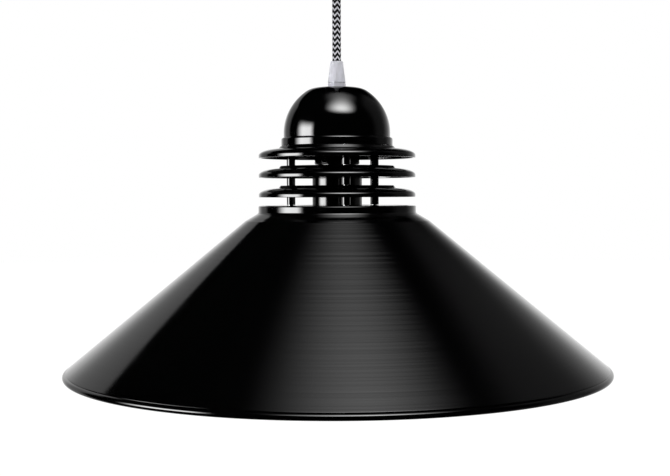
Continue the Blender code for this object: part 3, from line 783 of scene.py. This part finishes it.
# ---- shade ----
def ripple(s):
    """The shallow rings that a spinning roller leaves, as a height over distance s down the cone."""
    rings = ((3.1 * MM, 0.0), (4.7 * MM, 1.3), (7.9 * MM, 2.1), (2.3 * MM, 0.7))
    swell = 0.55 + 0.45 * math.sin(s / (31 * MM) + 0.8)
    return 0.0032 * MM * swell * sum(math.sin(math.tau * s / length + start) for length, start in rings)


def shade(mats):
    """The spun shade: a flat top, a short collar, a cone that dips beside it, and a rolled rim bead."""
    lo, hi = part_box("shade")
    top = hi.z
    rim_r = hi.x - BEAD_R
    bead_z = lo.z + BEAD_R
    cone_top = top - SHADE_NECK_HEIGHT
    cone_foot = bead_z + BEAD_R + 0.5 * MM
    start = Vector((SHADE_NECK_R, cone_top))
    along = Vector((rim_r, cone_foot)) - start
    length = along.length
    along.normalize()
    out = Vector((-along.y, along.x))

    def skin(s):
        return tuple(start + along * s + out * ripple(s))

    neck_foot = cone_top - SHADE_DIP * length / (rim_r - SHADE_NECK_R)
    neck = filleted([
        (SHADE_HOLE_R, top, 0.4 * MM), (62.3 * MM, top, 3.0 * MM), (SHADE_NECK_R, top - 0.55 * MM, 0.9 * MM),
        (SHADE_NECK_R, neck_foot, 2.2 * MM), (*skin(SHADE_DIP_END), 2.0 * MM), skin(2 * SHADE_DIP_END),
        (SHADE_HOLE_R, cone_foot),
    ])[:-2]
    rows = 150
    first = SHADE_DIP_END + 0.5 * MM
    last = length - 0.75 * MM
    cone = [skin(first + (last - first) * k / rows) for k in range(rows + 1)]
    fold = tuple(start + along * (length - 0.55 * MM) - out * 0.05 * MM)
    groove = tuple(start + along * (length - 0.30 * MM) - out * 0.45 * MM)
    bead = arc((rim_r, bead_z), BEAD_R, 68, -180, 30)
    outer = [*neck, *cone, fold, groove, *bead]
    inner_r = SHADE_NECK_R - SHADE_SHEET
    inward = SHADE_SHEET * math.tan(math.atan2(-along.y, along.x) / 2)
    inner = [
        (rim_r - BEAD_R, cone_foot - SHADE_SHEET - 0.4 * MM),
        tuple(start + along * SHADE_DIP_END - out * SHADE_SHEET), (inner_r, neck_foot - inward),
        (inner_r, top - SHADE_SHEET), (SHADE_HOLE_R, top - SHADE_SHEET),
    ]
    white_bead_edges = 8
    white_from = len(outer) - white_bead_edges
    sides = [mats["spun_enamel"], mats["white_enamel"]]
    made = lathe("shade_fine", [*outer, *inner], sides, steps=288, second=lambda k: k >= white_from)
    piece(made, "lamp", "black_enamel", "shade")


# ---- lampholder and bulb ----
def holder(mats):
    """The lampholder's two mouldings, whose necks fit one inside the other, and its screw shell."""
    cap_lo, cap_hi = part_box("holder_cap")
    hole = 7.8 * MM
    dome_foot_r = 14.5 * MM
    inner = cap_hi.x - HOLDER_WALL
    outline = filleted([
        (hole, cap_hi.z, 0.3 * MM), (dome_foot_r, cap_hi.z), (17.6 * MM, cap_hi.z - 1.0 * MM, 3.5 * MM),
        (cap_hi.x, cap_lo.z + 0.9 * MM, 0.5 * MM), (cap_hi.x - 0.9 * MM, cap_lo.z, 0.3 * MM),
        (inner, cap_lo.z), (inner, cap_hi.z - 4 * MM, 2 * MM), (dome_foot_r, cap_hi.z - 2 * MM),
        (hole, cap_hi.z - 2 * MM),
    ])
    turned("holder_cap_fine", "holder_cap", outline, "lamp", "bakelite", mats)
    lo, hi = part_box("holder_body")
    neck_r = 16.2 * MM
    neck_inner = 14.9 * MM
    seat = cap_lo.z - 0.3 * MM
    inner = hi.x - HOLDER_WALL
    outline = filleted([
        (neck_r, hi.z), (neck_r, seat), (cap_hi.x - 0.8 * MM, seat, 0.4 * MM),
        (hi.x, seat - 2.2 * MM, 1.2 * MM), (hi.x, lo.z, 0.8 * MM), (inner, lo.z, 0.6 * MM),
        (inner, seat - 2.8 * MM, 0.5 * MM), (neck_inner, seat - 2.8 * MM), (neck_inner, hi.z),
    ])
    turned("holder_body_fine", "holder_body", outline, "lamp", "bakelite", mats)
    lo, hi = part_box("screw_shell")
    shell = threaded("screw_shell_fine", 13.85 * MM, 13.45 * MM, lo.z, hi.z, 0.40 * MM, mats["brass"])
    piece(shell, "lamp", "brass", "screw_shell")


def threaded(name, outer, inner, foot, top, depth, mat, crown=()):
    """A thin rolled sleeve with a round right-hand thread; crown adds outline points above its top edge."""
    rows = round((top - foot) / (0.25 * MM))
    heights = [top + (foot - top) * k / rows for k in range(rows + 1)]
    plain = 0.1 * MM
    run_out = 1.5 * MM

    def rolled(angle, r, z):
        if z > top - plain or z < foot + plain:
            return r
        ease = min(1.0, (top - z) / run_out, (z - foot) / run_out)
        return r + depth * ease * math.cos(angle - math.tau * z / THREAD_PITCH)

    outline = [*crown, *((outer, z) for z in heights), *((inner, z) for z in reversed(heights))]
    return lathe(name, outline, [mat], steps=96, shape=rolled)


def bulb_cap(mats):
    """The bulb's screw cap, turned in over the glass at its top."""
    lo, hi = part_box("bulb_cap")
    crown = [(10.7 * MM, hi.z - 0.4 * MM), (11.0 * MM, hi.z), (12.3 * MM, hi.z - 1.1 * MM)]
    top = hi.z - 1.8 * MM
    metal_cap = mats["bulb_aluminium"]
    cap = threaded("bulb_cap_fine", 12.65 * MM, 12.25 * MM, lo.z, top, 0.42 * MM, metal_cap, crown)
    piece(cap, "bulb", "bulb_aluminium", "bulb_cap")


def bulb_glass(mats):
    """The opal globe on its neck."""
    lo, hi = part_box("bulb_glass")
    radius = hi.x
    wall = 0.8 * MM
    ball = arc((0, lo.z + radius), radius, 24, -90, 40)
    down_neck = ((12.8 * MM, 0), (13.2 * MM, 3 * MM), (15.0 * MM, 8 * MM), (21.0 * MM, 19 * MM))
    neck = [(r, hi.z - depth) for r, depth in down_neck]
    outer = [*smooth_run([*neck, ball[0]], 8)[:-1], *ball]
    inner = [(max(0.0, r - wall), z + (wall if r < 1 * MM else 0.0)) for r, z in reversed(outer)]
    turned("bulb_glass_fine", "bulb_glass", [*outer, *inner], "bulb", "opal_glass", mats)


def smooth_run(points, steps):
    """A smooth run of (r, z) points through the given ones (Catmull-Rom)."""
    knots = [Vector(p) for p in points]
    knots = [2 * knots[0] - knots[1], *knots, 2 * knots[-1] - knots[-2]]
    made = []
    for a, b, c, d in zip(knots, knots[1:], knots[2:], knots[3:]):
        slope = c - a
        bend = 2 * a - 5 * b + 4 * c - d
        twist = 3 * b - a - 3 * c + d
        for k in range(steps):
            t = k / steps
            made.append(tuple(b + 0.5 * (slope * t + bend * t**2 + twist * t**3)))
    made.append(tuple(knots[-2]))
    return made


# ---- nodes that keep their CAD shape ----
def dress_nodes(mats):
    """Give every CAD node the material of its slot."""
    slots = {row["node"]: row["material_slot"] for row in frame["record"]["subparts"]}
    for name, obj in frame["nodes"].items():
        obj.data.materials.clear()
        obj.data.materials.append(mats[slots[name]])
        if name.startswith("ceiling_"):
            out_of_gloss(obj)


# ---- stage and light ----
def floor():
    """A white ground far below the lamp, which its gloss and dull surfaces don't see."""
    half = 30.0
    drop = -2.0
    mesh = bpy.data.meshes.new("floor")
    corners = [(-half, -half, drop), (half, -half, drop), (half, half, drop), (-half, half, drop)]
    mesh.from_pydata(corners, [], [(0, 1, 2, 3)])
    glow = {"Emission_Color": (1, 1, 1, 1), "Emission_Strength": 1.0}
    mesh.materials.append(new_material("pale floor", (0, 0, 0), 0.9, **glow))
    obj = placed("floor", mesh)
    obj.visible_glossy = False
    obj.visible_diffuse = False


def eased_step(tree, value, zero_at, one_at):
    """0 to 1 as value goes from zero_at to one_at, smoothly."""
    if zero_at > one_at:
        return map_range(tree, value, one_at, zero_at, 1.0, 0.0, "SMOOTHSTEP")
    return map_range(tree, value, zero_at, one_at, 0.0, 1.0, "SMOOTHSTEP")


def folded(tree, operation, values):
    """The operation over all the values, from the first on."""
    made = values[0]
    for value in values[1:]:
        made = maths(tree, operation, made, value)
    return made


def product(tree, *values):
    return folded(tree, "MULTIPLY", values)


def total(tree, *values):
    return folded(tree, "ADD", values)


def less(tree, a, b):
    return maths(tree, "SUBTRACT", a, b)


def squared(tree, value):
    return maths(tree, "POWER", maths(tree, "ABSOLUTE", value), 2.0)


def overhead_light(tree, x, y, z):
    """Drawn on the plane one unit above the lamp: an oval in front, and a weaker strip past the zenith."""
    oval_side, oval_ahead, oval_half_width = 0.18, 0.66, 0.75
    strip_side, strip_half_width = 0.115, 0.54
    up = maths(tree, "MAXIMUM", z, 0.05)
    above = eased_step(tree, z, 0.05, 0.15)
    sideways = maths(tree, "DIVIDE", x, up)
    ahead = maths(tree, "DIVIDE", product(tree, y, -1.0), up)

    past = less(tree, ahead, oval_ahead)
    half_length = map_range(tree, past, -0.60, 0.10, 0.74, 0.51)
    length_share = squared(tree, maths(tree, "DIVIDE", past, half_length))
    width_share = squared(tree, maths(tree, "DIVIDE", less(tree, sideways, oval_side), oval_half_width))
    inside = maths(tree, "MAXIMUM", less(tree, less(tree, 1.0, length_share), width_share), 0.0)
    oval = product(tree, maths(tree, "POWER", inside, 3.0), above, 17.0)

    width_share = squared(tree, maths(tree, "DIVIDE", less(tree, sideways, strip_side), strip_half_width))
    inside = maths(tree, "MAXIMUM", less(tree, 1.0, width_share), 0.0)
    strip = product(
        tree, maths(tree, "POWER", inside, 3.0), eased_step(tree, ahead, -0.34, 0.05),
        eased_step(tree, ahead, 0.55, 0.1), above, 1.85,
    )
    return total(tree, oval, strip)


def left_box(tree, x, y, z):
    """A soft box at the left; its bearing is counted from straight in front of the lamp towards -X."""
    bearing = maths(tree, "ARCTAN2", product(tree, x, -1.0), product(tree, y, -1.0))
    near_side = eased_step(tree, bearing, math.radians(49), math.radians(61))
    far_side = eased_step(tree, bearing, math.radians(98), math.radians(76))
    foot = eased_step(tree, z, math.sin(math.radians(-16)), math.sin(math.radians(-8)))
    top = eased_step(tree, z, math.sin(math.radians(24)), math.sin(math.radians(7)))
    return product(tree, near_side, far_side, foot, top, 18.0)


def back_wall(tree, x, y, z):
    """A wall behind: sharp and grey on the left, soft on the right, and white low down straight behind."""
    left = product(tree, eased_step(tree, y, 0.48, 0.62), eased_step(tree, z, 0.53, 0.50))
    left = product(tree, left, eased_step(tree, x, 0.15, -0.15))
    right = product(tree, eased_step(tree, y, 0.45, 0.85), eased_step(tree, z, 0.55, 0.10))
    right = product(tree, right, eased_step(tree, x, -0.15, 0.15))
    low = product(tree, eased_step(tree, z, 0.40, 0.10), eased_step(tree, y, 0.75, 0.97))
    level = total(tree, product(tree, low, 0.55), 0.42)
    return product(tree, total(tree, left, right), level)


def right_flag(tree, x, y, z):
    """A dim card at the right, behind the lamp."""
    edges = eased_step(tree, x, 0.38, 0.56), eased_step(tree, z, 0.88, 0.70), eased_step(tree, y, -0.2, 0.2)
    return product(tree, *edges, 0.09)


def background(tree, strength):
    return node(tree, "ShaderNodeBackground", Color=(1, 1, 1, 1), Strength=strength).outputs[0]


def mixed(tree, share, first, second):
    return node(tree, "ShaderNodeMixShader", Fac=share, i1=first, i2=second).outputs[0]


def studio():
    """White to the camera, a soft gradient to dull surfaces, and lit shapes to gloss."""
    world = bpy.data.worlds.new("studio")
    bpy.context.scene.world = world
    world.use_nodes = True
    world.cycles.sampling_method = "NONE"
    tree = world.node_tree
    tree.nodes.clear()
    view = node(tree, "ShaderNodeTexCoord").outputs["Generated"]
    axes = node(tree, "ShaderNodeSeparateXYZ", Vector=view).outputs
    x, y, z = axes["X"], axes["Y"], axes["Z"]
    parts = (overhead_light, left_box, back_wall, right_flag)
    shapes = total(tree, *(part(tree, x, y, z) for part in parts))
    leaning_up = total(tree, z, product(tree, x, -0.35))
    soft = map_range(tree, leaning_up, -1.0, 1.0, 0.50, 1.70)
    path = node(tree, "ShaderNodeLightPath").outputs
    light = mixed(tree, path["Is Diffuse Ray"], background(tree, 1.0), background(tree, soft))
    light = mixed(tree, path["Is Glossy Ray"], light, background(tree, shapes))
    node(tree, "ShaderNodeOutputWorld", Surface=light)


def build():
    bpy.context.scene.view_settings.view_transform = "Standard"
    camera()
    mats = make_materials()
    cords(mats["textile_braid"])
    dress_nodes(mats)
    ceiling_cup(mats)
    cup_screw("cup_screw_left", -1, mats)
    cup_screw("cup_screw_right", 1, mats)
    outlet(mats)
    grip_nut(mats)
    grip_flange(mats)
    dome(mats)
    carrier(mats)
    for n in (1, 2, 3):
        louvre_ring(n, mats)
    for side in SIDES:
        for n in (1, 2, 3):
            spacer(f"spacer_{n}_{side}", mats)
        rod_nut(f"rod_nut_{side}", mats)
    shade(mats)
    holder(mats)
    bulb_cap(mats)
    bulb_glass(mats)
    floor()
    studio()


build()
